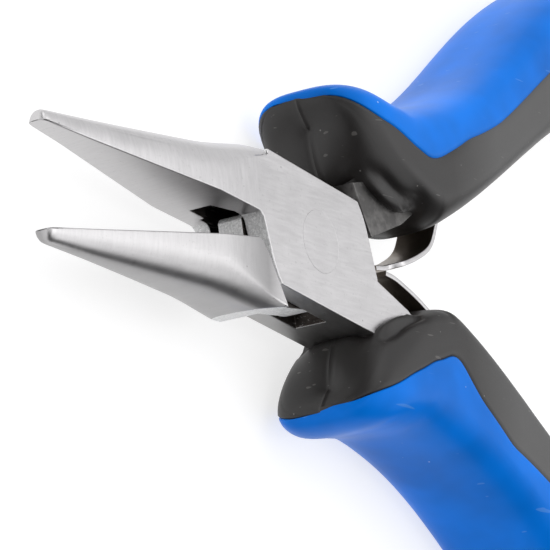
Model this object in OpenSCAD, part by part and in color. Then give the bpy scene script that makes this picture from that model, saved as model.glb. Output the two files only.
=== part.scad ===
// Box-joint pliers with slim tapered smooth jaws, a flush riveted joint, two
// interlocked leaf springs that open the handles, and two-colour moulded grips.
//
// Frame: the tool lies flat. +X runs from the jaws to the handles, +Z is the
// thickness, and the origin is under the middle of the open tool.
// Each half is drawn closed, with its own jaw face on y = 0 and the joint at
// x = y = 0, and then opened by half of the opening angle.

/* [Opening] */
// Angle between the two halves as drawn, in degrees
open_angle = 14; // [4:1:16]

/* [Head] */
// Width of the joint across the two edges
head_w = 12; // [11:0.5:13]
// Thickness of the joint through the rivet
head_t = 7.4; // [6.8:0.1:8]
// Distance from the joint to the tip of the jaws
jaw_len = 37.5; // [30:0.5:44]
// Height of each jaw at its tip
tip_h = 1; // [0.8:0.1:1.6]
// Thickness of each jaw at its tip
tip_t = 1.3; // [1:0.1:2]
// Diameter of the flush joint rivet
rivet_d = 5.8; // [4:0.1:6.4]
// Thickness of the tongue that passes through the slot
tongue_t = 3; // [2.4:0.1:3.4]

/* [Fits] */
// Clearance on each face of the tongue
slot_gap = 0.08; // [0.05:0.01:0.15]
// Radial clearance of the rivet in the tongue
bore_gap = 0.04; // [0.02:0.01:0.08]
// Clearance between the shoulders of the two halves
shoulder_gap = 0.08; // [0.05:0.01:0.15]

/* [Leaf springs] */
// Width of each leaf
leaf_w = 4.2; // [3.6:0.1:5]
// Thickness of each leaf
leaf_t = 0.5; // [0.4:0.05:0.6]
// Diameter of the rivets that hold the leaves
leaf_rivet_d = 2; // [1.6:0.1:2.4]

/* [Grips] */
// Thickness of the grips
grip_t = 13.6; // [12:0.2:15]
// Thickness of the steel inside the grips
tang_t = 5; // [4:0.2:6]
// Width of the steel inside the grips
tang_w = 5.4; // [4.4:0.2:6]

/* [Hidden] */

joint_x = -25.4;               // places the joint so that the open tool is centred
joint_z = grip_t / 2;
disc_fn = 96;                  // facets of the tongue's disc
rivet_fn = 64;                 // facets of the joint rivet and its hole
leaf_fn = 32;                  // facets of the leaf rivets and their holes

// Outline of the head, closed, point symmetric about the joint.
edge_slope = -0.0255;          // the two edges lean very slightly
crotch = [-9.3, 0];            // front end of the cheek, where the jaws part
crotch_top = -7;               // front end of the cheek along its edge
heel = [9.55, -0.77];          // rear end of the cheek
corner = [6.84, 5.83];         // where the rear shoulder meets the edge
tang_in = [14.8, 2.3];         // steel enters the grip, inner side
tang_out = [10.4, 6.26];       // steel enters the grip, outer side
tang_foot = [8.9, 0.8];        // inner corner of that steel, at the head
tang_rear = [[17.2, 3.4], [16.2, 8.8]];   // its end inside the grip
bar_start = [9.8, 1.6];        // where the narrower bar begins, inside the wide steel
bar_inset = [0.6, 0.6];        // and how far inside the outer corner
bar_end_t = 0.86;              // how far along the grip the bar reaches
bar_steps = 12;
jaw_root_x = -5;               // rear end of the jaw's taper
jaw_root_w = 10.2;             // thickness of the taper there, before the flats cut it
jaw_root_h = 6.9;              // height of the taper there, before the edges cut it
jaw_skin = 0.02;               // thickness of the two end sections of the taper
jaw_margin = 1;                // how far the cutting bands run past the tip
reach = 20;                    // past everything that the tongue sweeps through

function edge_y(x) = head_w / 2 + edge_slope * x;
function turned(p, a) = [p[0] * cos(a) - p[1] * sin(a), p[0] * sin(a) + p[1] * cos(a)];
function unit(v) = v / norm(v);

// Foot of the perpendicular from the joint to a shoulder line from p to q.
function foot(p, q) = p - unit(q - p) * (p * unit(q - p));

// Rear shoulder as seen by the other half while it swings by up to sweep degrees:
// straight near the heel, then an arc about the joint, then the swung line.
sweep = open_angle + 4;
function shoulder(p, q) = let (f = foot(p, q))
    concat([q], [for (i = [0:6]) turned(f, sweep * i / 6)], [turned(p, sweep)]);

// Cubic curve through two ends with two handles.
function bez(c, t) =
    pow(1 - t, 3) * c[0] + 3 * pow(1 - t, 2) * t * c[1]
    + 3 * (1 - t) * t * t * c[2] + pow(t, 3) * c[3];

// Rails of the upper grip, closed: inner side and outer side.
inner_rail = [[20.5, 1.5], [36, 6.3], [55, 20], [88.6, 22.2]];
outer_rail = [[15.8, 13.7], [43.5, 15.7], [42, 37], [89.6, 33.4]];
function rail_mid(t) = (bez(inner_rail, t) + bez(outer_rail, t)) / 2;
function rail_dir(t) = unit(rail_mid(min(1, t + 0.02)) - rail_mid(max(0, t - 0.02)));
function left(v) = [-v[1], v[0]];

half_grip = grip_t / 2;
grip_crown = half_grip + 0.3;  // the flats on top and underneath cut this crown
// Stations of the grip: inner point, outer point, half thickness, and how far
// the station bows toward the jaws, which domes the front of the guard.
guard = [
    [[15.0, 3.2], [6.2, 12.2], 3.2, 2.3],
    [[15.7, 2.1], [5.4, 13.8], 5.1, 1.7],
    [[17.0, 1.5], [5.6, 15.0], 6.3, 0.8],
    [[18.2, 1.4], [8.2, 15.3], half_grip + 0.1, 0.2],
    [[19.4, 1.45], [12.0, 14.3], half_grip + 0.4, 0]];
rail_steps = 14;
grip_from = [-5, -5];          // a box round the upper grip, closed
grip_size = [115, 65];
cap = [[1.4, 0.9], [2.5, 0.68], [2.9, 0.4]];   // how far behind the end, and how full
function cap_ring(c) = let (
        a = bez(inner_rail, 1), b = bez(outer_rail, 1),
        m = (a + b) / 2 + rail_dir(1) * c[0])
    [m + (a - b) / 2 * c[1], m + (b - a) / 2 * c[1], grip_crown * c[1], 0];
stations = concat(
    guard,
    [for (i = [0:rail_steps]) let (t = i / rail_steps)
        [bez(inner_rail, t), bez(outer_rail, t), grip_crown, 0]],
    [for (c = cap) cap_ring(c)]);

ring_n = 32;
squareness = 3.2;
function fat(v) = sign(v) * pow(abs(v), 2 / squareness);
function ring(s) = let (m = (s[0] + s[1]) / 2, r = (s[1] - s[0]) / 2)
    [for (k = [0:ring_n - 1]) let (a = 360 * (k + 0.5) / ring_n, u = fat(cos(a)),
            p = m + r * u + left(unit(r)) * s[3] * (1 - u * u))
        [p[0], p[1], s[2] * fat(sin(a))]];

// Middle of a station, at the top of its bow.
function hub(s) = let (m = (s[0] + s[1]) / 2, p = m + left(unit(s[1] - s[0])) * s[3])
    [p[0], p[1], 0];

// Line that parts the two colours on the upper grip: along the guard, a peak
// toward the inner side, then back along the middle.
function split_at(t) = rail_mid(t) + left(rail_dir(t)) * 0.6;
split_line = concat(
    [[3, 13.4], [6.8, 12.2], [11.9, 9.7], [16.4, 7.6], [18.4, 7.6], [22.6, 9.7]],
    [for (i = [3:rail_steps]) split_at(i / rail_steps)],
    [split_at(1) + [8, 0]]);

// Leaf springs, open, as the path of the middle of the upper leaf. The last two
// points lie along the steel inside the grip, where a rivet holds the leaf.
leaf_seat_t = 0.27;            // where along the rail the rivet is
leaf_end = 3;                  // how far the leaf runs past the rivet
leaf_rivet_len = 3;            // length of the rivet's shank
leaf_head_h = 0.6;             // height of the rivet's head
leaf_head_ratio = 1.7;         // diameter of the head over that of the shank
bore_depth = 4;                // depth of the shank's hole, from outside the steel
leaf_room = 0.3;               // room in the grip round the leaf
head_room = [4.8, 1.7];        // room in the grip for the rivet's head
function seat_point(u) = turned(
    rail_mid(leaf_seat_t) + rail_dir(leaf_seat_t) * u
    - left(rail_dir(leaf_seat_t)) * (tang_w + leaf_t) / 2, open_angle / 2);
leaf_path = [[13.6, 0.35], [15.8, 0.75], [19.7, 2.2], [22.4, 3.9], [24.1, 6.9], [26.0, 9.9],
    seat_point(-leaf_end), seat_point(leaf_end)];

module place(side) {
    // side 1 turns a half up from closed, side -1 turns it down
    translate([joint_x, 0, joint_z]) rotate([0, 0, side * open_angle / 2]) children();
}

module slab(t) {
    translate([0, 0, -t / 2]) linear_extrude(height = t) children();
}

module rivet_hole(d) {
    translate([0, 0, -head_t]) cylinder(h = 2 * head_t, d = d, $fn = rivet_fn);
}

// Round-backed jaw, its flat inner face on y = 0 and its back toward +y.
module jaw_section(x, h, w) {
    translate([x, 0, 0]) rotate([90, 0, 90]) linear_extrude(height = jaw_skin)
        polygon([for (i = [0:16]) let (a = 180 * i / 16)
            [h * fat(sin(a)), w / 2 * fat(cos(a))]]);
}

module jaw() {
    intersection() {
        hull() {
            jaw_section(-jaw_len, tip_h, tip_t);
            jaw_section(jaw_root_x, jaw_root_h, jaw_root_w);
        }
        slab(head_t) head_band(-jaw_len - jaw_margin, jaw_root_x);
        translate([-jaw_len - jaw_margin, jaw_skin, -head_t / 2])
            cube([jaw_len, head_w, head_t]);
    }
}

// Steel from the head into the upper grip.
module tang_root() {
    slab(head_t) polygon(concat([tang_foot, tang_in], tang_rear, [tang_out, corner]));
}

function bar_point(i, side) = let (t = i / bar_steps * bar_end_t)
    rail_mid(t) + left(rail_dir(t)) * side * tang_w / 2;
module tang_bar() {
    slab(tang_t) polygon(concat(
        [bar_start],
        [for (i = [1:bar_steps]) bar_point(i, -1)],
        [for (i = [bar_steps:-1:1]) bar_point(i, 1)],
        [tang_out - bar_inset]));
}

module seat_frame(t) {
    m = rail_mid(t);
    d = rail_dir(t);
    translate([m[0], m[1], 0]) rotate([0, 0, atan2(d[1], d[0])]) children();
}

module tang_solid() {
    tang_root();
    tang_bar();
}

module tang() {
    difference() {
        tang_solid();
        seat_frame(leaf_seat_t)
            translate([0, -tang_w / 2 - 1, 0]) rotate([-90, 0, 0])
                cylinder(h = bore_depth, d = leaf_rivet_d, $fn = leaf_fn);
    }
}

// Band between the two edges of the head.
module head_band(x0, x1) {
    polygon([[x0, edge_y(x0)], [x1, edge_y(x1)], [x1, -edge_y(-x1)], [x0, -edge_y(-x0)]]);
}

// Both cheeks have this outline: a shoulder at each end, edges along the head.
module cheek() {
    rear = shoulder(corner, heel);
    front = [for (i = [1:len(rear) - 1]) -rear[i]];
    intersection() {
        polygon(concat(rear, [[crotch_top, head_w]], [crotch], front, [[tang_out[0], -head_w]]));
        head_band(crotch[0] - 1, tang_out[0]);
    }
}

module slot_space() {
    // everything that the tongue sweeps through, seen from the slotted half
    circle(r = head_w / 2 + slot_gap, $fn = disc_fn);
    translate([-reach, -reach]) square(reach);
    square(reach);
}

module slotted_half() {
    color("silver") place(-1) difference() {
        union() {
            jaw();
            slab(head_t) cheek();
            mirror([0, 1, 0]) tang();
        }
        slab(tongue_t + 2 * slot_gap) slot_space();
        rivet_hole(rivet_d);
    }
}

module tongue_outline() {
    circle(r = head_w / 2, $fn = disc_fn);
    polygon([crotch - [0.3, 0.1], [0, -0.1], [0, -edge_y(0)], -corner,
        [crotch[0] - 0.3, -edge_y(-crotch[0])]]);
    polygon([[heel[0], tang_foot[1]], [0, tang_foot[1]], [0, edge_y(0)], corner, tang_out]);
}

// Everything behind the front shoulder line, which the cheeks need for themselves.
module behind_front() {
    gap = [shoulder_gap, 0];
    run = -corner - crotch;
    slab(3 * head_t) polygon([crotch - run - gap, -corner + run - gap, [head_w, -2 * head_w],
        [head_w, head_w]]);
}

// Everything in front of the rear shoulder line.
module before_rear() {
    gap = [shoulder_gap, 0];
    run = heel - corner;
    slab(3 * head_t) polygon([corner - run + gap, heel + run + gap, [-head_w, -head_w],
        [-head_w, 2 * head_w]]);
}

module tongue_half() {
    color("gainsboro") place(1) difference() {
        union() {
            slab(tongue_t) tongue_outline();
            difference() {
                mirror([0, 1, 0]) jaw();
                behind_front();
            }
            difference() {
                tang();
                before_rear();
            }
        }
        rivet_hole(rivet_d + 2 * bore_gap);
    }
}

module joint_rivet() {
    color("lightgray") translate([joint_x, 0, joint_z - head_t / 2])
        cylinder(h = head_t, d = rivet_d, $fn = rivet_fn);
}

// Strip of even thickness along a path of points.
function path_normal(c, i) = left(unit(c[min(i + 1, len(c) - 1)] - c[max(i - 1, 0)]));
module strip(c, w, t) {
    n = len(c) - 1;
    slab(w) polygon(concat(
        [for (i = [0:n]) c[i] + path_normal(c, i) * t / 2],
        [for (i = [n:-1:0]) c[i] - path_normal(c, i) * t / 2]));
}

module leaf_spring() {
    difference() {
        translate([joint_x, 0, joint_z]) strip(leaf_path, leaf_w, leaf_t);
        place(1) seat_frame(leaf_seat_t) translate([0, -tang_w, 0]) rotate([-90, 0, 0])
            cylinder(h = tang_w, d = leaf_rivet_d, $fn = leaf_fn);
    }
}

module upper_leaf_spring() {
    color("darkgray") leaf_spring();
}

module lower_leaf_spring() {
    color("darkgray") mirror([0, 1, 0]) leaf_spring();
}

module spring_rivet() {
    place(1) seat_frame(leaf_seat_t) {
        translate([0, -tang_w / 2 - leaf_t, 0]) rotate([-90, 0, 0])
            cylinder(h = leaf_rivet_len, d = leaf_rivet_d, $fn = leaf_fn);
        translate([0, -tang_w / 2 - leaf_t - leaf_head_h, 0]) rotate([-90, 0, 0])
            cylinder(h = leaf_head_h, d = leaf_rivet_d * leaf_head_ratio, $fn = leaf_fn);
    }
}

module upper_spring_rivet() {
    color("gray") spring_rivet();
}

module lower_spring_rivet() {
    color("gray") mirror([0, 1, 0]) spring_rivet();
}

// Whole upper grip as one closed skin, closed frame.
module grip_skin() {
    m = len(stations);
    last = (m - 1) * ring_n;
    pts = concat([for (s = stations) each ring(s)], [hub(stations[0]), hub(stations[m - 1])]);
    intersection() {
        polyhedron(points = pts, faces = concat(
            [for (k = [0:ring_n - 1]) [m * ring_n, k, (k + 1) % ring_n]],
            [for (i = [0:m - 2], k = [0:ring_n - 1])
                let (a = i * ring_n, b = a + ring_n, k2 = (k + 1) % ring_n)
                [a + k, b + k2, a + k2]],
            [for (i = [0:m - 2], k = [0:ring_n - 1])
                let (a = i * ring_n, b = a + ring_n, k2 = (k + 1) % ring_n)
                [a + k, b + k, b + k2]],
            [for (k = [0:ring_n - 1]) [m * ring_n + 1, last + (k + 1) % ring_n, last + k]]));
        translate([grip_from[0], grip_from[1], -half_grip]) cube([grip_size[0], grip_size[1], grip_t]);
    }
}

// Space inside the grip for the steel, the leaf and its rivet.
module grip_core() {
    tang_solid();
    seat_frame(leaf_seat_t)
        translate([-head_room[0] / 2, -tang_w / 2 - head_room[1] + 0.1, -leaf_w / 2 - leaf_room])
            cube([head_room[0], head_room[1], leaf_w + 2 * leaf_room]);
    rotate([0, 0, -open_angle / 2])
        strip(leaf_path, leaf_w + 2 * leaf_room, leaf_t + 2 * leaf_room);
}

module outer_side() {
    translate([0, 0, -head_w]) linear_extrude(height = 2 * head_w)
        polygon(concat(split_line, [grip_from + grip_size, [grip_from[0], grip_from[1] + grip_size[1]],
            [grip_from[0], split_line[0][1]]]));
}

module inner_grip() {
    color("dimgray") place(1) difference() {
        grip_skin();
        outer_side();
        grip_core();
    }
}

module outer_grip() {
    color("royalblue") place(1) difference() {
        intersection() {
            grip_skin();
            outer_side();
        }
        grip_core();
    }
}

module upper_inner_grip() { inner_grip(); }
module upper_outer_grip() { outer_grip(); }
module lower_inner_grip() { mirror([0, 1, 0]) inner_grip(); }
module lower_outer_grip() { mirror([0, 1, 0]) outer_grip(); }

slotted_half();
tongue_half();
joint_rivet();
lower_leaf_spring();
upper_leaf_spring();
lower_spring_rivet();
upper_spring_rivet();
lower_inner_grip();
lower_outer_grip();
upper_inner_grip();
upper_outer_grip();
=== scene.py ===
import math

import bmesh
import bpy
import numpy as np
from mathutils import Matrix, Vector


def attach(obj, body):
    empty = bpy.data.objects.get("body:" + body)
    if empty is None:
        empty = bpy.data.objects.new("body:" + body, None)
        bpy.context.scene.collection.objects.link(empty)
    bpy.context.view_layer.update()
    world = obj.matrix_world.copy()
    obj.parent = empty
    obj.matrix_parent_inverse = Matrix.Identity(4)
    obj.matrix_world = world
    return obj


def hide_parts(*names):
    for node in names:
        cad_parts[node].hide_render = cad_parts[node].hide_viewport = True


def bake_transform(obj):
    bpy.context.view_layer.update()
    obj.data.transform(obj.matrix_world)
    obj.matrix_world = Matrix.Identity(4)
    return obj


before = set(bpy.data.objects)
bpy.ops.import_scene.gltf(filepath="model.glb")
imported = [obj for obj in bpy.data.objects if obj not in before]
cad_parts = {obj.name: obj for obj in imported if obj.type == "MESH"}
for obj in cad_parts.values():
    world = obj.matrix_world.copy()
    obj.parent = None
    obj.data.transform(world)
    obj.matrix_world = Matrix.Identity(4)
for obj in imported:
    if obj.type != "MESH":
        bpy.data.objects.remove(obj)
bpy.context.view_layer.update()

# Lengths are in mm, and in metres inside the materials and for the floor and the lights. The
# grips and the halves are drawn shut, with the joint at the origin, the tips toward -X and the grip
# of the upper handle toward +Y. place() opens them and moves them to the frame.
MM = 0.001
JOINT = np.array([-25.4, 0.0, 6.8])
HALF_OPEN = 7                                # degrees by which each half is turned from shut
THROUGH = 20.0                               # more than any thickness, for cuts right through

HEAD_W = 12.0                                # width of the head across the joint
HALF_T = 3.7                                 # half the thickness of the head
TONGUE_T = 3.0                               # thickness of the tongue in the slot
JAW_LEN = 37.5                               # from the joint to the tip
JAW_TIP, JAW_TAPER = 0.72, 0.1372            # a jaw's half thickness at the tip, and its growth
TANG_IN, TANG_OUT = np.array([14.8, 2.3]), np.array([10.4, 6.26])    # where the steel enters a grip
BAR_W = 5.4                                  # width of the bar of steel inside a grip
LEAF_T = 0.5                                 # thickness of a leaf spring


# ---------------------------------------------------------------- small sums

def turned(p, deg):
    """A point, or an array each of x and y, turned about the joint."""
    c, s = math.cos(math.radians(deg)), math.sin(math.radians(deg))
    return np.array([p[0] * c - p[1] * s, p[0] * s + p[1] * c])


def place(points, side):
    """Points of the shut frame on the upper (1) or lower (-1) side of the model, in metres."""
    p = np.array(points, float).reshape(-1, 3)
    x, y = turned((p[:, 0], p[:, 1]), HALF_OPEN)
    return (np.stack([x, y * side, p[:, 2]], 1) + JOINT) * MM


def smooth(x):
    x = np.clip(x, 0, 1)
    return x * x * (3 - 2 * x)


def bell(x, centre, width):
    return np.exp(-((x - centre) / width) ** 2)


def unit(v):
    return v / np.linalg.norm(v)


def left(v):
    return np.array([-v[1], v[0]])


# ---------------------------------------------------------------- camera

SENSOR, LENS = 36.0, 254.7
CAMERA_AZIMUTH, CAMERA_ELEVATION, CAMERA_ROLL = (math.radians(a) for a in (196.05, 31.4, -4.2))
CAMERA_DISTANCE = 350.0                      # from the joint, along the view
JOINT_RIGHT, JOINT_UP = 1.03, 2.29           # the joint's place from the middle of the view


def make_camera():
    flat = math.cos(CAMERA_ELEVATION)
    back = np.array([flat * math.cos(CAMERA_AZIMUTH), flat * math.sin(CAMERA_AZIMUTH),
                     math.sin(CAMERA_ELEVATION)])
    level = unit(np.cross((0, 1, 0), back))
    upright = np.cross(back, level)
    c, s = math.cos(CAMERA_ROLL), math.sin(CAMERA_ROLL)
    right, up = c * level + s * upright, c * upright - s * level
    eye = JOINT - JOINT_RIGHT * right - JOINT_UP * up + CAMERA_DISTANCE * back
    cam = bpy.data.cameras.new("camera")
    cam.sensor_width, cam.lens = SENSOR, LENS
    cam.clip_start, cam.clip_end = 0.01, 20
    o = bpy.data.objects.new("camera", cam)
    turn = np.stack([right, up, back], 1)
    o.matrix_world = Matrix([[*row, at] for row, at in zip(turn, eye * MM)] + [[0, 0, 0, 1]])
    bpy.context.scene.collection.objects.link(o)
    bpy.context.scene.camera = o


# ---------------------------------------------------------------- materials

def colour(c):
    """A colour with its alpha, from a grey level or from red, green and blue."""
    return (c, c, c, 1) if isinstance(c, (int, float)) else (*c, 1)


def scaled(tint, k):
    return tuple(min(1, k * c) for c in tint)


class Nodes:
    """Short calls that add nodes to one tree."""

    def __init__(self, tree, coordinates="Object"):
        self.t = tree
        self.coord = tree.nodes.new("ShaderNodeTexCoord").outputs[coordinates]

    def link(self, a, b):
        self.t.links.new(a, b)

    def axes(self):
        n = self.t.nodes.new("ShaderNodeSeparateXYZ")
        self.link(self.coord, n.inputs[0])
        return n.outputs["X"], n.outputs["Y"], n.outputs["Z"]

    def mapped(self, scale, rotation=(0, 0, 0)):
        n = self.t.nodes.new("ShaderNodeMapping")
        n.inputs["Scale"].default_value = scale
        n.inputs["Rotation"].default_value = rotation
        self.link(self.coord, n.inputs["Vector"])
        return n.outputs[0]

    def noise(self, scale, detail=3, rough=0.5, vector=None):
        n = self.t.nodes.new("ShaderNodeTexNoise")
        n.inputs["Scale"].default_value = scale
        n.inputs["Detail"].default_value = detail
        n.inputs["Roughness"].default_value = rough
        self.link(self.coord if vector is None else vector, n.inputs["Vector"])
        return n.outputs["Fac"]

    def streaks(self, scale, rotation=(0, 0, 0), detail=3, rough=0.6):
        """Noise stretched along one direction."""
        return self.noise(1, detail, rough, self.mapped(scale, rotation))

    def cells(self, scale):
        """Distance to the nearest of many scattered points."""
        n = self.t.nodes.new("ShaderNodeTexVoronoi")
        n.inputs["Scale"].default_value = scale
        self.link(self.coord, n.inputs["Vector"])
        return n.outputs["Distance"]

    def ramp(self, value, *stops):
        n = self.t.nodes.new("ShaderNodeValToRGB")
        elements = n.color_ramp.elements
        for end, (at, c) in zip(elements, (stops[0], stops[-1])):
            end.position, end.color = at, colour(c)
        for at, c in stops[1:-1]:
            elements.new(at).color = colour(c)
        self.link(value, n.inputs["Fac"])
        return n.outputs["Color"]

    def clamped(self, value, top=1.0):
        return self.ramp(value, (0.0, 0.0), (1.0, top))

    def fade(self, value, start, length, top=1.0):
        """From 0 at start to top, over a length of the value."""
        return self.clamped(self.math("MULTIPLY_ADD", value, 1 / length, -start / length), top)

    def math(self, op, a, b, c=0.0):
        n = self.t.nodes.new("ShaderNodeMath")
        n.operation = op
        for i, v in enumerate((a, b, c)):
            if isinstance(v, (int, float)):
                n.inputs[i].default_value = v
            else:
                self.link(v, n.inputs[i])
        return n.outputs[0]

    def mix(self, fac, a, b):
        n = self.t.nodes.new("ShaderNodeMix")
        n.data_type = "RGBA"
        for i, v in ((0, fac), (6, a), (7, b)):
            if isinstance(v, tuple):
                n.inputs[i].default_value = colour(v)
            else:
                self.link(v, n.inputs[i])
        return n.outputs[2]

    def bump(self, height, strength, distance, after=None):
        n = self.t.nodes.new("ShaderNodeBump")
        n.inputs["Strength"].default_value = strength
        n.inputs["Distance"].default_value = distance
        self.link(height, n.inputs["Height"])
        if after is not None:
            self.link(after, n.inputs["Normal"])
        return n.outputs[0]


def new_material(name):
    """A material, its nodes and its shader's sockets."""
    m = bpy.data.materials.new(name)
    m.use_nodes = True
    return m, Nodes(m.node_tree), m.node_tree.nodes["Principled BSDF"].inputs


def steel(name, tint, rough, grain_turn, grain=0.13, painted_shade_from=None, low=None):
    """Ground steel: fine parallel grinding lines, faint blotches and a few pits. Behind painted_shade_from
    it is painted dark as shade, and on the round side of the jaw from low under the top it is painted
    darker as shade, both in metres."""
    m, n, sockets = new_material(name)
    x, y, z = n.axes()
    along = n.streaks((420, 4200, 2500), (0, 0, grain_turn))
    across = n.streaks((3800, 500, 500), (0, 0, grain_turn))
    head_from, jaw_from, change = -0.0356, -0.0324, 0.002
    lines = n.mix(n.fade(x, head_from, change), across, along)   # along the head, across the jaws
    blotch = n.noise(300, 4, 0.65)
    grit = n.noise(3600, 2, 0.6)
    pits = n.ramp(n.cells(520), (0.025, 0.0), (0.06, 1.0))
    base = n.mix(n.ramp(lines, (0.25, 0.0), (0.75, 1.0)), scaled(tint, 0.91), scaled(tint, 1.07))
    base = n.mix(n.ramp(blotch, (0.35, 0.25), (0.7, 0.0)), base, scaled(tint, 0.80))
    base = n.mix(n.ramp(grit, (0.62, 0.0), (0.75, 0.5)), base, scaled(tint, 0.70))
    base = n.mix(pits, scaled(tint, 0.5), base)
    if painted_shade_from is not None:
        # painted shade: the tang toward the grip is painted dark, as the guard's shade on it
        slanted, blend = n.math("MULTIPLY_ADD", y, 0.55, x), 0.0011
        painted_shade = n.mix(n.ramp(blotch, (0.45, 0.0), (0.62, 1.0)), (0.10, 0.097, 0.095), (0.20, 0.195, 0.19))
        base = n.mix(n.fade(slanted, painted_shade_from - blend / 2, blend), base, painted_shade)
    if low is not None:
        # painted shade: the round lower side of the jaw is painted darker, from low under its top downward
        at_joint = JOINT[2] + JAW_TIP + JAW_TAPER * (JAW_LEN - JOINT[0])
        top = n.math("MULTIPLY_ADD", x, JAW_TAPER, float(at_joint * MM))
        down = n.math("MULTIPLY_ADD", n.math("SUBTRACT", top, z), 1 / low, -0.15)
        under = n.clamped(n.math("MULTIPLY_ADD", blotch, 0.3, down))
        on_jaw = n.fade(x, jaw_from, -change, 0.8)
        base = n.mix(n.math("MULTIPLY", under, on_jaw), base, scaled(tint, 0.48))
    n.link(base, sockets["Base Color"])
    sockets["Metallic"].default_value = 1.0
    n.link(n.math("MULTIPLY_ADD", n.math("ADD", lines, blotch), 0.18, rough - 0.18), sockets["Roughness"])
    relief = n.bump(lines, grain, 0.00005)
    relief = n.bump(grit, 0.5 * grain, 0.00003, relief)
    n.link(n.bump(pits, 0.4, 0.00003, relief), sockets["Normal"])
    return m


def slot_shade_steel(name):
    """Unpolished steel inside the slot, painted dark as the shade in the recess, with dragged bright
    scratches.
    """
    m, n, sockets = new_material(name)
    drag = n.streaks((500, 3500, 2400), (0, 0, 0.9), rough=0.65)
    patch = n.noise(420, 4, 0.65)
    # painted shade: the dark base stands for the shade inside the slot
    base = n.mix(n.ramp(patch, (0.35, 0.0), (0.7, 1.0)), (0.018, 0.013, 0.011), (0.075, 0.066, 0.060))
    base = n.mix(n.ramp(drag, (0.58, 0.0), (0.70, 1.0)), base, (0.30, 0.29, 0.28))
    n.link(base, sockets["Base Color"])
    sockets["Metallic"].default_value = 0.85
    n.link(n.math("MULTIPLY_ADD", patch, 0.3, 0.32), sockets["Roughness"])
    n.link(n.bump(drag, 0.4, 0.00004), sockets["Normal"])
    return m


def milled_steel(name):
    """Rough milled end faces: bright, granular, with cutter marks."""
    m, n, sockets = new_material(name)
    marks = n.streaks((700, 1500, 6500), (0.5, 0, 0), detail=2)
    grit = n.noise(5200, 3, 0.7)
    base = n.mix(n.ramp(grit, (0.38, 0.0), (0.62, 1.0)), (0.62, 0.62, 0.62), (1.0, 1.0, 1.0))
    base = n.mix(n.ramp(marks, (0.45, 0.0), (0.62, 0.8)), base, (0.70, 0.70, 0.70))
    n.link(base, sockets["Base Color"])
    sockets["Metallic"].default_value = 0.3
    n.link(n.math("MULTIPLY_ADD", grit, 0.3, 0.3), sockets["Roughness"])
    n.link(n.bump(n.math("ADD", grit, marks), 0.7, 0.00006), sockets["Normal"])
    return m


def rubber(name):
    """Charcoal moulded rubber with a very fine matt grain, dust and lint. Toward the handle it is painted
    paler as painted light, and the guard is painted darker as painted shade."""
    m, n, sockets = new_material(name)
    x = n.axes()[0]
    cloud = n.noise(140, 4, 0.6)
    grain = n.noise(9000, 2)
    dust = n.ramp(n.cells(520), (0.030, 1.0), (0.055, 0.0))
    lint = n.ramp(n.streaks((380, 2600, 900), (0.4, 0.2, 0.9), 1, 0.5), (0.735, 0.0), (0.76, 1.0))
    # painted light and shade: paler toward the handle, darker on the guard
    painted_light_handle = n.clamped(n.math("MULTIPLY_ADD", cloud, 0.5, n.math("MULTIPLY_ADD", x, 115.0, 0.37)))
    base = n.mix(n.ramp(cloud, (0.3, 0.0), (0.75, 1.0)), (0.006, 0.0048, 0.0045), (0.013, 0.0108, 0.0102))
    base = n.mix(painted_light_handle, base, (0.064, 0.0635, 0.0630))
    base = n.mix(n.math("MULTIPLY", dust, 0.5), base, (0.30, 0.29, 0.28))
    base = n.mix(n.math("MULTIPLY", lint, 0.3), base, (0.22, 0.21, 0.20))
    n.link(base, sockets["Base Color"])
    n.link(n.math("MULTIPLY_ADD", n.math("ADD", cloud, grain), 0.14, 0.32), sockets["Roughness"])
    sockets["Specular IOR Level"].default_value = 0.55
    relief = n.bump(grain, 0.18, 0.00002)
    n.link(n.bump(dust, 0.3, 0.00003, relief), sockets["Normal"])
    return m


def plastic(name):
    """Blue moulded plastic, satin gloss, with soft clouding, dust specks and hairline scratches."""
    m, n, sockets = new_material(name)
    cloud = n.noise(90, 3, 0.55)
    grain = n.noise(7000, 2)
    specks = n.ramp(n.cells(330), (0.020, 1.0), (0.034, 0.0))
    hair = n.ramp(n.streaks((160, 2100, 500), (0.2, 0.5, 1.1), 1, 0.5), (0.74, 0.0), (0.755, 1.0))
    base = n.mix(n.ramp(cloud, (0.3, 0.0), (0.75, 1.0)), (0.0002, 0.130, 0.55), (0.0005, 0.212, 0.88))
    base = n.mix(n.math("MULTIPLY", specks, 0.75), base, (0.45, 0.62, 0.85))
    base = n.mix(n.math("MULTIPLY", hair, 0.25), base, (0.20, 0.42, 0.80))
    n.link(base, sockets["Base Color"])
    n.link(n.math("MULTIPLY_ADD", n.math("ADD", cloud, grain), 0.10, 0.24), sockets["Roughness"])
    sockets["Specular IOR Level"].default_value = 0.08
    relief = n.bump(grain, 0.10, 0.00002)
    n.link(n.bump(hair, 0.2, 0.00002, relief), sockets["Normal"])
    return m


def pale_floor(name):
    m, n, sockets = new_material(name)
    n.link(n.mix(n.noise(60), (0.39, 0.39, 0.39), (0.42, 0.42, 0.42)), sockets["Base Color"])
    sockets["Roughness"].default_value = 0.9
    sockets["Specular IOR Level"].default_value = 0.1
    sockets["Emission Color"].default_value = (1, 1, 1, 1)
    sockets["Emission Strength"].default_value = 0.72
    return m


# ---------------------------------------------------------------- mesh helpers

def mesh_object(name, verts, faces, merge):
    """An object of one closed mesh, with points closer than merge made one."""
    me = bpy.data.meshes.new(name)
    me.from_pydata([tuple(map(float, v)) for v in verts], [], [tuple(map(int, f)) for f in faces])
    me.validate()
    bm = bmesh.new()
    bm.from_mesh(me)
    bmesh.ops.remove_doubles(bm, verts=bm.verts, dist=merge)
    bmesh.ops.recalc_face_normals(bm, faces=bm.faces)
    bm.to_mesh(me)
    bm.free()
    o = bpy.data.objects.new(name, me)
    bpy.context.scene.collection.objects.link(o)
    return o


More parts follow.
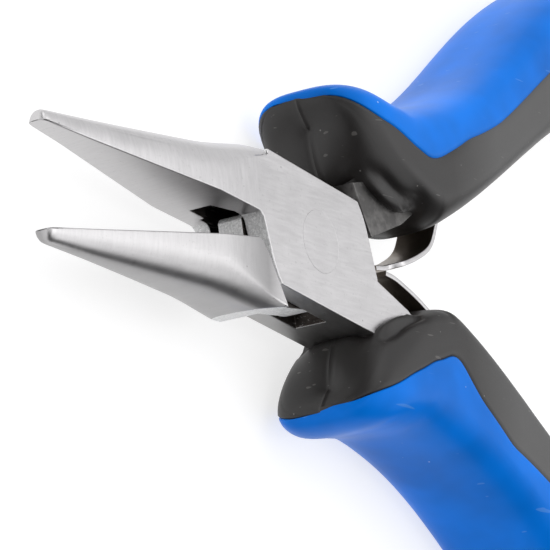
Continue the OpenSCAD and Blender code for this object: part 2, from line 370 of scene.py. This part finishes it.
def finished(name, verts, faces, material, sharp_from=None):
    """A visible object in metres, shaded smooth up to the angle sharp_from, in degrees."""
    o = mesh_object(name, verts, faces, 2e-6)
    o.data.shade_smooth()
    if sharp_from:
        o.data.set_sharp_from_angle(angle=math.radians(sharp_from))
    o.data.materials.append(material)
    return o


def grid_faces(rows, cols, closed=True):
    f = []
    for i in range(rows - 1):
        for k in range(cols if closed else cols - 1):
            k2 = (k + 1) % cols
            f.append((i * cols + k, i * cols + k2, (i + 1) * cols + k2, (i + 1) * cols + k))
    return f


def end_faces(rows, cols):
    """The flat faces that close the first and the last row of a grid."""
    return [tuple(range(cols)), tuple((rows - 1) * cols + k for k in reversed(range(cols)))]


def catmull(keys, per):
    """Smooth rows through the key rows, per of them from each to the next."""
    k = np.array(keys, float)
    k = np.vstack([2 * k[0] - k[1], k, 2 * k[-1] - k[-2]])
    rows = []
    for i in range(1, len(k) - 2):
        a, b, c, d = k[i - 1:i + 3]
        for t in np.arange(per) / per:
            rows.append(0.5 * (2 * b + (c - a) * t + (2 * a - 5 * b + 4 * c - d) * t * t
                               + (3 * b - a - 3 * c + d) * t ** 3))
    rows.append(k[-2])
    return rows


# ---------------------------------------------------------------- grips

# the inner and the outer rail of a grip, as Bezier points from the guard to the rounded end
INNER = np.array([[20.5, 1.5], [36, 6.3], [55, 20], [88.6, 22.2]])
OUTER = np.array([[15.8, 13.7], [43.5, 15.7], [42, 37], [89.6, 33.4]])
RAIL_KEYS, END_ROWS, END_LEN = 15, 8, 2.9
PER = 8                                      # rows from one key row to the next
SQUARE = 3.2                                 # exponent of the rings: 2 is round, more is squarer
RING_H = 7.1                                 # half thickness of the rings before they are flattened
HALF_GRIP, SHOULDER = 6.8, 0.4               # half thickness once flat, and how softly that begins
SECTION_STEPS, SIDE_POINTS = 720, 22         # steps of a dense half ring, points kept per colour

# the guard's key rows: inner x y, outer x y, half thickness, bow
GUARD = [[14.7, 3.6, 6.9, 11.4, 0.0, 3.1],
         [14.8, 3.4, 6.5, 11.8, 1.9, 2.9],
         [15.1, 3.2, 6.1, 12.4, 3.6, 2.4],
         [15.9, 2.1, 5.4, 13.8, 5.3, 1.7],
         [17.1, 1.5, 5.7, 15.0, 6.5, 0.8],
         [18.3, 1.45, 8.2, 15.3, 6.95, 0.2],
         [19.4, 1.5, 12.0, 14.3, 7.1, 0.0]]
# the two grips are not quite alike: how far the inner side of the guard's last rows is raised
GUARD_RAISED = {1: (1.1, 1.9, 1.15, 0.75), -1: (0.4, 0.2, -0.4, -0.75)}

# where the colours part, as key rows from the nose and places across from -1, inner, to 1, outer
PARTING = {
    1: [(3.4, 1.0), (4.2, 0.45), (5.4, 0.16), (6.3, 0.05), (7.2, 0.05), (8.6, 0.18), (10.2, 0.08)],
    -1: [(2.9, 1.0), (4.2, 0.54), (4.7, 0.25), (5.5, 0.02), (7.2, -0.13), (8.1, 0.17), (9.5, 0.35),
         (11.3, 0.13), (12.5, 0.08)]}
ALL_BLACK = 0.985                            # past this place across a row has no blue yet
LATE = {1: 1, -1: 3}                         # rows by which the blue starts later underneath
SLIM = {1: 0.13, -1: 0.03}                   # how much thinner the guard is underneath
SLIM_KEYS = 6.7                              # key rows over which that fades out
ROUNDING = 0.85                              # how far its underside falls away on the inner side


def bez(c, t):
    return ((1 - t) ** 3 * c[0] + 3 * (1 - t) ** 2 * t * c[1]
            + 3 * (1 - t) * t * t * c[2] + t ** 3 * c[3])


def rail_mid(t):
    return (bez(INNER, t) + bez(OUTER, t)) / 2


def rail_dir(t):
    return unit(rail_mid(min(1, t + 0.02)) - rail_mid(max(0, t - 0.02)))


def rail_raised(side, t):
    """How far the inner rail is raised, on the upper and on the lower grip."""
    front, whole = 1 - smooth(t / 0.35), 1 - smooth((t - 0.4) / 0.4)
    return float(0.72 * whole if side > 0 else -0.70 * front - 0.25 * whole)


def stations(side):
    """Rows of inner x y, outer x y, half thickness and bow, from the nose to the rounded end, and
    each row's parting of the colours."""
    guard = [list(row) for row in GUARD]
    for row, up in zip(guard[3:], GUARD_RAISED[side]):
        row[1] += up
    rail = [[*(bez(INNER, t) + [0, rail_raised(side, t)]), *bez(OUTER, t), RING_H, 0.0]
            for t in np.linspace(0, 1, RAIL_KEYS)]
    rows = catmull(guard + rail, PER)
    a, b = bez(INNER, 1.0), bez(OUTER, 1.0)
    mid, reach, onward = (a + b) / 2, (b - a) / 2, rail_dir(1.0)
    for angle in np.linspace(0.12, 1, END_ROWS) * math.pi / 2:
        k = max(0.0, math.cos(angle)) ** 0.6
        c = mid + onward * END_LEN * math.sin(angle)
        rows.append(np.array([*(c - reach * k), *(c + reach * k), RING_H * k, 0.0]))
    part = np.interp(np.arange(len(rows)) / PER, *zip(*PARTING[side]))
    for _ in range(3):
        part[1:-1] = (part[:-2] + 2 * part[1:-1] + part[2:]) / 4
    return rows, np.where(part < ALL_BLACK, part, 1.0)


def section(row, falls):
    """The top half of a ring as a dense line from the inner to the outer side, with each point's
    place across. On the inner side the line falls away by a share of its height."""
    inner, outer, h, bow = row[:2], row[2:4], max(0.0, row[4]), row[5]
    mid, reach = (inner + outer) / 2, (outer - inner) / 2
    a = np.linspace(math.pi, 0, SECTION_STEPS + 1)
    u = np.sign(np.cos(a)) * np.abs(np.cos(a)) ** (2 / SQUARE)
    z = h * np.abs(np.sin(a)) ** (2 / SQUARE)
    z = z * (1 - falls * np.clip(-u, 0, 1) ** 2)
    bend = HALF_GRIP - SHOULDER
    z = np.where(z > bend, HALF_GRIP - SHOULDER * np.exp(-(z - bend) / SHOULDER), z)
    ahead = left(unit(reach)) if np.linalg.norm(reach) > 1e-6 else np.zeros(2)
    flat = mid[None] + u[:, None] * reach[None] + ahead[None] * (bow * (1 - u * u))[:, None]
    return np.column_stack([flat, z]), u


def half_ring(row, part, falls=0.0):
    """For each side of the parting, points from the parting to that side of the ring, closer
    together near the parting, and how far from the parting each of them is."""
    line, u = section(row, falls)
    d = np.concatenate([[0], np.cumsum(np.linalg.norm(np.diff(line, axis=0), axis=1))])
    parting = float(np.interp(part, u, d))

    def spaced(length):
        near = np.array([0, 0.06, 0.14, 0.26, 0.42]) * min(1, length / 1.2)
        rest = near[-1] + (length - near[-1]) * np.linspace(0, 1, SIDE_POINTS + 1)[1:]
        return np.concatenate([near, rest])

    halves = {}
    for kind, length, way in (("inner", parting, -1), ("outer", d[-1] - parting, 1)):
        away = spaced(length)
        at = parting + way * away
        halves[kind] = np.column_stack([np.interp(at, d, line[:, i]) for i in range(3)]), away
    return halves


def guard_relief(grid):
    """How far the guard's skin stands out: a lip round the steel with a groove outside it, and a
    fine flash line down the middle of the nose."""
    over = unit(TANG_OUT - TANG_IN)
    half_w = np.linalg.norm(TANG_OUT - TANG_IN) / 2
    flat, z = grid[..., :2] - (TANG_IN + TANG_OUT) / 2, grid[..., 2]
    across, ahead = flat @ over, flat @ -left(over)
    dx, dz = np.abs(across) - half_w, np.abs(z) - HALF_T
    from_steel = np.hypot(np.maximum(dx, 0), np.maximum(dz, 0)) + np.minimum(np.maximum(dx, dz), 0)
    lip = 0.42 * bell(from_steel, 0.45, 0.42) - 0.34 * bell(from_steel, 1.40, 0.36)
    lip = lip * smooth((across + 3.3) / 1.6)
    flash = 0.07 * bell(z, 0, 0.10) - 0.05 * bell(np.abs(z), 0.35, 0.15)
    nose = (np.arange(len(grid)) < 5 * PER)[:, None] * smooth((7.5 - ahead) / 2.5)
    return (lip + flash * smooth(from_steel - 1.2)) * nose


def outward(grid, middles):
    """Unit normals of a grid, pointing away from its rows' middles."""
    normals = np.cross(np.gradient(grid, axis=1), np.gradient(grid, axis=0))
    normals /= np.maximum(np.linalg.norm(normals, axis=2, keepdims=True), 1e-9)
    return normals * np.sign(np.sum(normals[10:] * (grid - middles[:, None])[10:]))


def grip_skin(rows, part, rings, kind):
    """Grid of one colour: each row goes from the parting on top, round that colour's side, to the
    parting underneath. A fine groove runs along the parting, with a low bead on the rubber."""
    grid, away = [], []
    for top, bottom, below in rings:
        grid.append(np.vstack([top[kind][0], (bottom[kind][0] * below)[::-1][1:]]))
        away.append(np.concatenate([top[kind][1], bottom[kind][1][::-1][1:]]))
    grid, away = np.stack(grid), np.stack(away)
    middles = np.array([[*(row[:2] + row[2:4]) / 2, 0.0] for row in rows])
    begun = smooth((1 - part) / 0.12)[:, None]
    inset = 0.16 * np.clip(1 - away / 0.42, 0, 1) ** 2 * begun
    if kind == "inner":
        inset = inset - 0.04 * smooth(1 - np.abs(away - 0.7) / 0.6) * begun - guard_relief(grid)
    grid = grid - outward(grid, middles) * inset[..., None]
    grid[..., 2] = np.clip(grid[..., 2], -HALF_GRIP, HALF_GRIP)
    return grid


def grip_pieces(side, name, black, blue, body):
    rows, part = stations(side)
    rings = []
    for k, row in enumerate(rows):
        below = [1, 1, SLIM[side] * (1 - float(smooth(k / PER / SLIM_KEYS))) - 1]
        rounding = ROUNDING * float(smooth(1.6 - k / PER / 6))
        bottom = half_ring(row, part[max(0, k - LATE[side])], rounding)
        rings.append((half_ring(row, part[k]), bottom, below))
    last_black = int(np.flatnonzero(part >= 1.0)[-1])
    for kind, first, material, slot in (("inner", 0, black, "charcoal_rubber"),
                                        ("outer", last_black, blue, "blue_plastic")):
        grid = grip_skin(rows[first:], part[first:], rings[first:], kind)
        count, cols = grid.shape[:2]
        faces = grid_faces(count, cols, closed=False)
        for i in range(count - 1):   # the wall where the two colours meet, inside
            faces.append((i * cols + cols - 1, i * cols, (i + 1) * cols, (i + 1) * cols + cols - 1))
        faces += end_faces(count, cols)
        o = finished(f"{name}_{kind}_grip_skin", place(grid, side), faces, material, 50)
        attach(o, body)
        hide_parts(f"{name}_{kind}_grip")


# ---------------------------------------------------------------- cutting solids

def work_solid(verts, faces):
    return mesh_object("work", verts, faces, 1e-5)


def between(low, high):
    """The solid between two rings of as many points."""
    n = len(low)
    faces = [tuple(range(n)), tuple(range(n, 2 * n))]
    faces += [(i, (i + 1) % n, n + (i + 1) % n, n + i) for i in range(n)]
    return work_solid([*low, *high], faces)


def prism(outline, z0=-THROUGH, z1=THROUGH):
    return between([[*p, z0] for p in outline], [[*p, z1] for p in outline])


def side_prism(outline, y0, y1):
    """A prism along y, its outline given in x and z."""
    return between([[x, y0, z] for x, z in outline], [[x, y1, z] for x, z in outline])


def disc(radius, z0=-THROUGH, z1=THROUGH, n=96):
    return prism([turned([radius, 0], 360 * i / n) for i in range(n)], z0, z1)


def slab():
    """Everything within the head's thickness."""
    return prism([[-50, -20], [40, -20], [40, 20], [-50, 20]], -HALF_T, HALF_T)


def combine(a, b, operation):
    """Boolean of two work objects; b is used up."""
    m = a.modifiers.new("b", "BOOLEAN")
    m.operation, m.solver, m.object = operation, "EXACT", b
    me = bpy.data.meshes.new_from_object(a.evaluated_get(bpy.context.evaluated_depsgraph_get()))
    a.modifiers.clear()
    a.data = me
    bpy.data.objects.remove(b)
    return a


def joined(a, b):
    return combine(a, b, "UNION")


def cut(a, b):
    return combine(a, b, "DIFFERENCE")


def common(a, b):
    return combine(a, b, "INTERSECT")


# ---------------------------------------------------------------- steel halves

JAW_ROOT = -4.0                                      # where a jaw ends, inside the head
CROTCH = np.array([-9.3, 0.0])                       # where the jaws meet
CHEEK_TOP = -7.0                                     # where a cheek's front leaves the head's edge
HEEL, CORNER = np.array([9.55, -0.77]), np.array([6.84, 5.83])   # ends of a cheek's rear edge
BAR_HALF_T = 2.5
RIVET_HOLE = 2.9                                     # radius
SLOT = TONGUE_T / 2 + 0.08                           # half the slot's width
CROTCH_LOW = -2.05                                   # the widened slot's floor at the crotch
TONGUE_LOW = -1.05                                   # the step under the tongue's end


def edge_y(x):
    """The head's slightly tapered edge."""
    return HEAD_W / 2 - 0.0255 * x


def mirrored(outline):
    return [[p[0], -p[1]] for p in outline][::-1]


def flip(o):
    for v in o.data.vertices:
        v.co.y = -v.co.y
    o.data.flip_normals()
    return o


def jaw_mesh():
    """Round-backed jaw, before the flats and edges cut it. From a blunt rounded tip it grows
    thicker, higher and squarer toward the root."""
    tip = [(-JAW_LEN, 0.30), (-JAW_LEN + 0.03, 0.58), (-JAW_LEN + 0.10, 0.78),
           (-JAW_LEN + 0.22, 0.91), (-JAW_LEN + 0.42, 0.98)]
    rows = tip + [(x, 1.0) for x in np.linspace(-JAW_LEN + 0.8, JAW_ROOT, 72)]
    n, verts = 48, []
    for x, k in rows:
        s = x + JAW_LEN
        half_t = (JAW_TIP + JAW_TAPER * s + 0.16 * float(smooth(1 - s / 6))) * k
        height = (1.15 + 0.180 * s + 0.75 * float(smooth((s - 20) / 11))) * k
        power = 2 / (2.15 + 0.80 * float(smooth(s / 30)))
        for i in range(n + 1):
            a = math.pi * i / n
            y = 0.0 if i in (0, n) else height * abs(math.sin(a)) ** power
            verts.append([x, y, half_t * math.copysign(abs(math.cos(a)) ** power, math.cos(a))])
    return work_solid(verts, grid_faces(len(rows), n + 1) + end_faces(len(rows), n + 1))


def shoulder():
    """Rear edge of a cheek, and the arc that clears the other half while that swings."""
    run = unit(HEEL - CORNER)
    foot = CORNER - run * float(CORNER @ run)
    return [HEEL] + [turned(foot, 3.0 * i) for i in range(7)] + [turned(CORNER, 18)]


def cheek_outline():
    rear = shoulder()
    front = [-p for p in rear[2:]]
    fillet = [[-10.1, 0.3], [-10.05, 0.0], [-9.72, -0.03], [-9.42, -0.17], [-9.18, -0.38]]
    return rear + [[CHEEK_TOP, HEAD_W]] + fillet + front + [[TANG_OUT[0], -HEAD_W]]


def band(x0, x1):
    """Outline of the strip between the head's two edges."""
    return [[x0, edge_y(x0)], [x1, edge_y(x1)], [x1, -edge_y(-x1)], [x0, -edge_y(-x0)]]


def tang_root_outline():
    return [[8.9, 0.8], TANG_IN, [17.2, 3.4], [16.2, 8.8], TANG_OUT, CORNER]


def tang_bar_outline():
    ts = np.linspace(0, 0.86, 25)[1:]
    low = [rail_mid(t) - left(rail_dir(t)) * BAR_W / 2 for t in ts]
    high = [rail_mid(t) + left(rail_dir(t)) * BAR_W / 2 for t in ts]
    return [[9.8, 1.6]] + low + high[::-1] + [[TANG_OUT[0] - 0.6, TANG_OUT[1] - 0.6]]


def slot_outline():
    """Room for the tongue and its swing. It stays a hair off the plane of the jaws' flats."""
    reach, hair = [HEAD_W / 2 + 0.08, 0], 0.012
    front = [turned(reach, a) for a in range(90, 181, 3)]
    rear = [turned(reach, a) for a in range(270, 361, 3)]
    return [[20, 20], [0, 20], *front, [-20, -hair], [-20, -20], [0, -20], *rear, [20, 0]]


def slotted_half():
    """Upper jaw, cheeks and the lower handle's steel. The slot is wider at the crotch on the far
    side, with room for the end of the tongue and a short cross cut in the jaw's face ahead of it."""
    half = joined(jaw_mesh(), prism(cheek_outline()))
    half = common(half, prism(band(-50, TANG_OUT[0])))
    half = joined(half, prism(mirrored(tang_root_outline())))
    half = common(half, slab())
    half = joined(half, prism(mirrored(tang_bar_outline()), -BAR_HALF_T, BAR_HALF_T))
    half = cut(half, prism(slot_outline(), -SLOT, SLOT))
    crotch = [[-10.6, -7], [-7.4, -7], [-6.6, -3], [-7.2, 0.4], [-10.6, 0.4]]
    tongue_room = [(-10.3, SLOT), (-10.3, CROTCH_LOW), (-4, CROTCH_LOW), (-4, SLOT)]
    cross_cut = [(-13.0, -1.45), (-13.1, 0.7), (-10.7, 1.6), (-9.8, 1.57), (-9.8, -1.8), (-11.1, -1.5)]
    side_window = [[-1.2, -7.5], [4.2, -7.5], [3.5, -4.4], [-1.2, -4.4]]
    half = cut(half, prism(crotch, CROTCH_LOW, SLOT))
    half = cut(half, side_prism(tongue_room, -0.6, 3.5))
    half = cut(half, side_prism(cross_cut, -0.6, 1.1))
    half = cut(half, prism(side_window, -SLOT, SLOT))
    return cut(half, disc(RIVET_HOLE))


def tongue_jaw(gap):
    """The lower jaw, cut back a gap from the cheeks' front edges."""
    jaw = common(flip(jaw_mesh()), prism(mirrored(band(-50, 6))))
    jaw = common(jaw, slab())
    run = -CORNER - CROTCH
    behind = [CROTCH - run - gap, -CORNER + run - gap, [HEAD_W, -2 * HEAD_W], [HEAD_W, HEAD_W]]
    rounding = [[-10.2, 0.0], [-9.85, -0.07], [-9.6, -0.25], [-9.43, -0.5], [-9.2, -1.0],
                [-8.0, -1.0], [-8.0, 1.0], [-10.2, 1.0]]
    return cut(cut(jaw, prism(behind)), prism(rounding))


def tongue_tang(gap):
    """The upper handle's steel, cut back a gap from the cheeks' rear edges."""
    tang = common(prism(tang_root_outline()), slab())
    tang = joined(tang, prism(tang_bar_outline(), -BAR_HALF_T, BAR_HALF_T))
    run = HEEL - CORNER
    ahead = [CORNER - run + gap, HEEL + run + gap, [-HEAD_W, -HEAD_W], [-HEAD_W, 2 * HEAD_W]]
    return cut(tang, prism(ahead))


def tongue():
    """The part that runs through the slot, with a bump at the crotch stepped on the far side."""
    t = TONGUE_T / 2
    neck = [CROTCH - [0.3, 0.1], [0, -0.1], [0, -edge_y(0) + 0.15], -CORNER + [0, 0.15],
            [CROTCH[0] - 0.3, -edge_y(-CROTCH[0]) + 0.15]]
    tail = [[HEEL[0], 0.8], [0, 0.8], [0, edge_y(0)], CORNER, TANG_OUT]
    bump = [[-9.25, -0.4], [-4, -0.4], [-4, 3.2], [-7.4, 2.7], [-8.9, 2.45], [-9.25, 2.1]]
    web = disc(HEAD_W / 2 - 0.12, -t, t)
    for outline in (neck, tail, bump):
        web = joined(web, prism(outline, -t, t))
    step = [[-9.6, -0.35], [-6.6, -0.35], [-6.6, 4], [-9.6, 4]]
    return cut(web, prism(step, -THROUGH, TONGUE_LOW))


def tongue_half():
    """Lower jaw, tongue and the upper handle's steel."""
    gap = np.array([0.17, 0])
    half = joined(tongue_jaw(gap), tongue())
    half = joined(half, tongue_tang(gap))
    return cut(half, disc(RIVET_HOLE + 0.04))


GROUND, DARK, MILLED, SHADED_SIDE = range(4)                # the materials of a half, in order


def face_material(side, centre, normal):
    """The slot's walls are painted dark as shade in the recess, the faces that meet at the crotch are
    milled, and the flat side of the slotted half is painted darker as shade."""
    x, y = turned(centre[:2], -side * HALF_OPEN)
    z = abs(centre[2])
    level, upright = abs(normal.z) > 0.9, abs(normal.z) < 0.3
    steep = upright and abs(normal.x) > 0.35
    # painted shade: faces inside the slot take the dark slot material
    if level and z < 2.3 and -13.5 < x < 8:
        return DARK
    if side < 0 and z < 2.2 and -13.5 < x < 7 and (steep or -0.05 < y < 3.2):
        return DARK
    if side > 0 and z < 1.6 and -9.6 < x < 1:
        return MILLED
    if steep and z < HALF_T - 0.05 and -10 < x < -5.5:
        return MILLED
    # painted shade: the flat side facing -y takes the darker copy of the ground steel
    if side < 0 and upright and normal.y < -0.8 and x > -9.5:
        return SHADED_SIDE
    return GROUND


def merge_planes(me):
    """Joins faces in one plane, and sets how much of the bevel each edge takes."""
    bm = bmesh.new()
    bm.from_mesh(me)
    bmesh.ops.remove_doubles(bm, verts=bm.verts, dist=8e-6)
    bmesh.ops.dissolve_limit(bm, angle_limit=math.radians(0.5), use_dissolve_boundaries=False,
                             verts=bm.verts, edges=bm.edges)
    bmesh.ops.recalc_face_normals(bm, faces=bm.faces)
    weight = bm.edges.layers.float.new("bevel_weight_edge")
    for e in bm.edges:
        if e.is_manifold and e.calc_face_angle() > math.radians(30):
            at = (e.verts[0].co + e.verts[1].co) / 2 / MM
            on_rim = math.hypot(at.x - JOINT[0], at.y) < 3.0 and abs(at.z - JOINT[2]) > 3.5
            e[weight] = 0.2 if on_rim else 1.0       # the flush rivet's rim is hardly broken
    bm.to_mesh(me)
    bm.free()


def steel_piece(half, name, node, side, materials, body):
    """The finished half: placed, its planes merged and its edges broken."""
    me = half.data
    points = np.array([v.co for v in me.vertices])
    me.vertices.foreach_set("co", place(points * [1, side, 1], side).ravel())
    if side < 0:
        me.flip_normals()
    merge_planes(me)
    me.shade_smooth()
    me.materials.clear()
    for m in materials:
        me.materials.append(m)
    for f in me.polygons:
        f.material_index = face_material(side, np.array(f.center) / MM - JOINT, f.normal)
    half.name = me.name = name
    edges = half.modifiers.new("edges", "BEVEL")
    edges.width, edges.segments = 0.13 * MM, 2
    edges.limit_method = "WEIGHT"
    edges.use_clamp_overlap = False
    edges.harden_normals = True
    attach(half, body)
    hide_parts(node)


def dress_rivet(node, material):
    """The CAD's own rivet, with a fine rim."""
    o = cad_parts[node]
    o.data.materials.clear()
    o.data.materials.append(material)
    rim = o.modifiers.new("rim", "BEVEL")
    rim.width, rim.segments = 0.025 * MM, 2
    rim.limit_method, rim.angle_limit = "ANGLE", math.radians(40)


# ---------------------------------------------------------------- leaf springs

LEAF_W = 4.2
LEAF_PATH = [[13.6, 0.35], [15.8, 0.75], [19.7, 2.2], [22.4, 3.9], [24.1, 6.9], [26.0, 9.9]]
SEAT_AT = 0.27                               # the seat's place along the grip's rails
TIP_LEN, TIP_NARROWER = 3.4, 1.0             # the upper leaf's tip: its length and lost half width
CORNER_R, CORNER_STEPS = 0.11, 3


def seat_point(u):
    """A point of the leaf's seat on the bar inside the grip, u along it."""
    along = rail_dir(SEAT_AT)
    return turned(rail_mid(SEAT_AT) + along * u - left(along) * (BAR_W + LEAF_T) / 2, HALF_OPEN)


def leaf_corners():
    """Corner points of a leaf's section: which corner, and how far each is past its centre."""
    points = []
    for cx, cy, first in ((1, 1, 0), (-1, 1, 90), (-1, -1, 180), (1, -1, 270)):
        for j in range(CORNER_STEPS + 1):
            points.append((cx, cy, *turned([CORNER_R, 0], first + 90 * j / CORNER_STEPS)))
    return points


def leaf(side, name, dull, bright):
    """A bent leaf from its tip to its seat, drawn open, dull but for its sheared edges."""
    path = np.array(catmull(LEAF_PATH + [seat_point(u) for u in (-3, 0, 3)], 12))
    along = np.concatenate([[0], np.cumsum(np.linalg.norm(np.diff(path, axis=0), axis=1))])
    tangent = np.gradient(path, axis=0)
    half_w = np.full(len(path), LEAF_W / 2)
    if side > 0:
        half_w -= TIP_NARROWER * smooth(TIP_LEN - along)
    corners, verts = leaf_corners(), []
    for at, way, w in zip(path, tangent, half_w):
        for cx, cy, past_z, past_y in corners:
            x, y = at + left(unit(way)) * (cy * (LEAF_T / 2 - CORNER_R) + past_y)
            verts.append([x, y * side, cx * (w - CORNER_R) + past_z])
    faces = grid_faces(len(path), len(corners)) + end_faces(len(path), len(corners))
    o = finished(name + "_leaf", (np.array(verts) + JOINT) * MM, faces, dull, 55)
    o.data.materials.append(bright)
    for f in o.data.polygons:
        f.material_index = 1 if abs(f.normal.z) > 0.5 else 0
    x, y, z = JOINT * MM + [0, 0.008 * side, 0]
    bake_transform(o)
    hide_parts(name + "_leaf_spring")


# ---------------------------------------------------------------- stage

def make_floor():
    s = 1.6
    corners = [(-s, -s, 0), (s, -s, 0), (s, s, 0), (-s, s, 0)]
    finished("floor", corners, [(0, 1, 2, 3)], pale_floor("pale_floor"))


def make_world():
    """Soft studio light: dark low down on the -y side, bright high up and far off."""
    world = bpy.data.worlds.new("studio")
    bpy.context.scene.world = world
    world.use_nodes = True
    n = Nodes(world.node_tree, "Generated")
    x, y, z = n.axes()
    height = n.math("MULTIPLY_ADD", y, 0.40, n.math("MULTIPLY_ADD", x, 0.20, z))
    levels = [(0.0, (0.07, 0.07, 0.073))]
    levels += [(at, (g, g, 1.01 * g)) for at, g in ((0.28, 0.09), (0.44, 0.50), (0.62, 1.0), (0.78, 0.78))]
    levels += [(1.0, (0.85, 0.85, 0.86))]
    background = world.node_tree.nodes["Background"]
    n.link(n.ramp(height, *levels), background.inputs["Color"])
    background.inputs["Strength"].default_value = 1.05


def area_light(name, place_at, size, power):
    """A soft light that faces the object."""
    light = bpy.data.lights.new(name, "AREA")
    light.shape = "RECTANGLE"
    light.size, light.size_y = size
    light.energy = power
    o = bpy.data.objects.new(name, light)
    o.location = place_at
    o.rotation_euler = (-Vector(place_at)).to_track_quat("-Z", "Y").to_euler()
    bpy.context.scene.collection.objects.link(o)


# ---------------------------------------------------------------- build

make_camera()
make_floor()
make_world()
area_light("overhead", (0.15, 0.10, 0.85), (0.9, 0.9), 2.6)
area_light("far_side", (0.85, -0.28, 0.62), (0.9, 0.4), 1.0)
area_light("front", (-0.75, 0.05, 0.32), (0.5, 0.3), 0.6)
area_light("left_side", (-0.30, 0.80, 0.45), (0.6, 0.4), 0.8)
bpy.context.scene.view_settings.view_transform = "Standard"

ground = steel("ground_steel", (0.61, 0.60, 0.605), 0.36, 0.35)
ground_tongue = steel("ground_steel_tongue", (0.61, 0.60, 0.605), 0.36, -0.1, painted_shade_from=-0.0190,
                      low=0.0009)
rivet_steel = steel("rivet_steel", (0.605, 0.595, 0.60), 0.37, 0.5)
spring = steel("spring_steel", (0.34, 0.285, 0.235), 0.34, 0.0, 0.10)
# painted shade: a darker copy of the ground steel for the slotted half's flat side facing -y
shaded_side_steel = steel("shaded_side_steel", (0.42, 0.415, 0.41), 0.38, 0.2)
slot_dark = slot_shade_steel("slot_steel")
milled = milled_steel("milled_steel")
black = rubber("charcoal_rubber")
blue = plastic("blue_plastic")

steel_piece(slotted_half(), "slotted_steel", "slotted_half", -1,
            [ground, slot_dark, milled, shaded_side_steel], "slotted_body")
steel_piece(tongue_half(), "tongue_steel", "tongue_half", 1,
            [ground_tongue, slot_dark, milled], "tongue_body")
for rivet in ("joint_rivet", "lower_spring_rivet", "upper_spring_rivet"):
    dress_rivet(rivet, rivet_steel)
grip_pieces(1, "upper", black, blue, "tongue_body")
grip_pieces(-1, "lower", black, blue, "slotted_body")
leaf(1, "upper", spring, ground)
leaf(-1, "lower", spring, ground)
